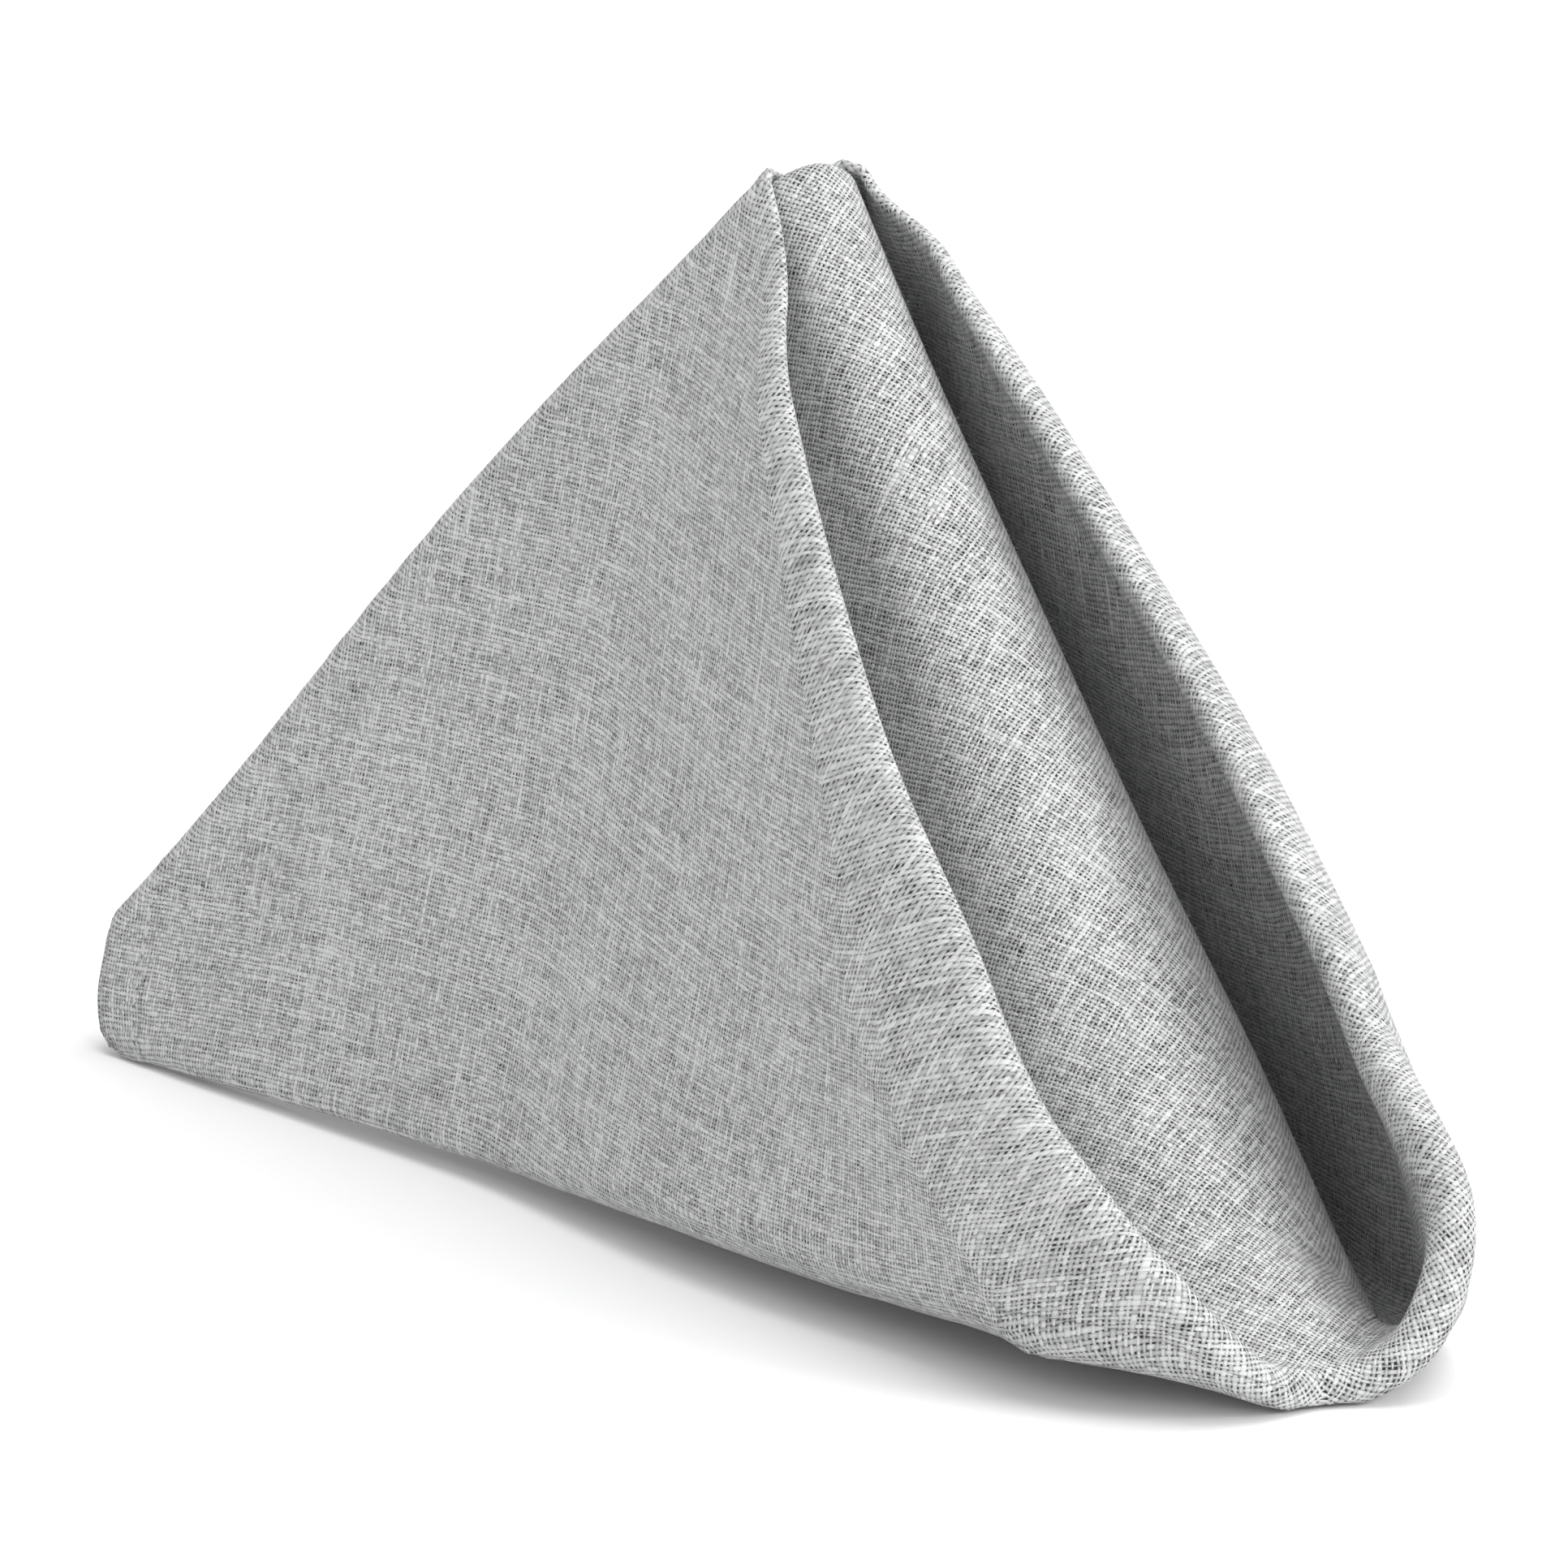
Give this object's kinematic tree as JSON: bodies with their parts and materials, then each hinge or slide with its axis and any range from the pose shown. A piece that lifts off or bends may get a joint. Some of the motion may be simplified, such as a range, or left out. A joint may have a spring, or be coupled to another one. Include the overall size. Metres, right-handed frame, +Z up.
{
  "type": "folded cloth napkin",
  "caption": "Square hemmed cloth napkin folded into a standing tent, soft hump at the nose, open mouth at the front and hollow underneath.",
  "frame": {"origin": "on the table, under the middle of the napkin's bounding box", "axes": "+Z up from the table, -Y towards the nose and its open mouth, +X to the napkin's own left as seen from the front"},
  "size_m": [0.1238, 0.2514, 0.1341],
  "materials": {
    "grey_linen": "matte plain weave"
  },
  "bodies": {
    "root": {"napkin": "grey_linen"}
  },
  "joints": []
}
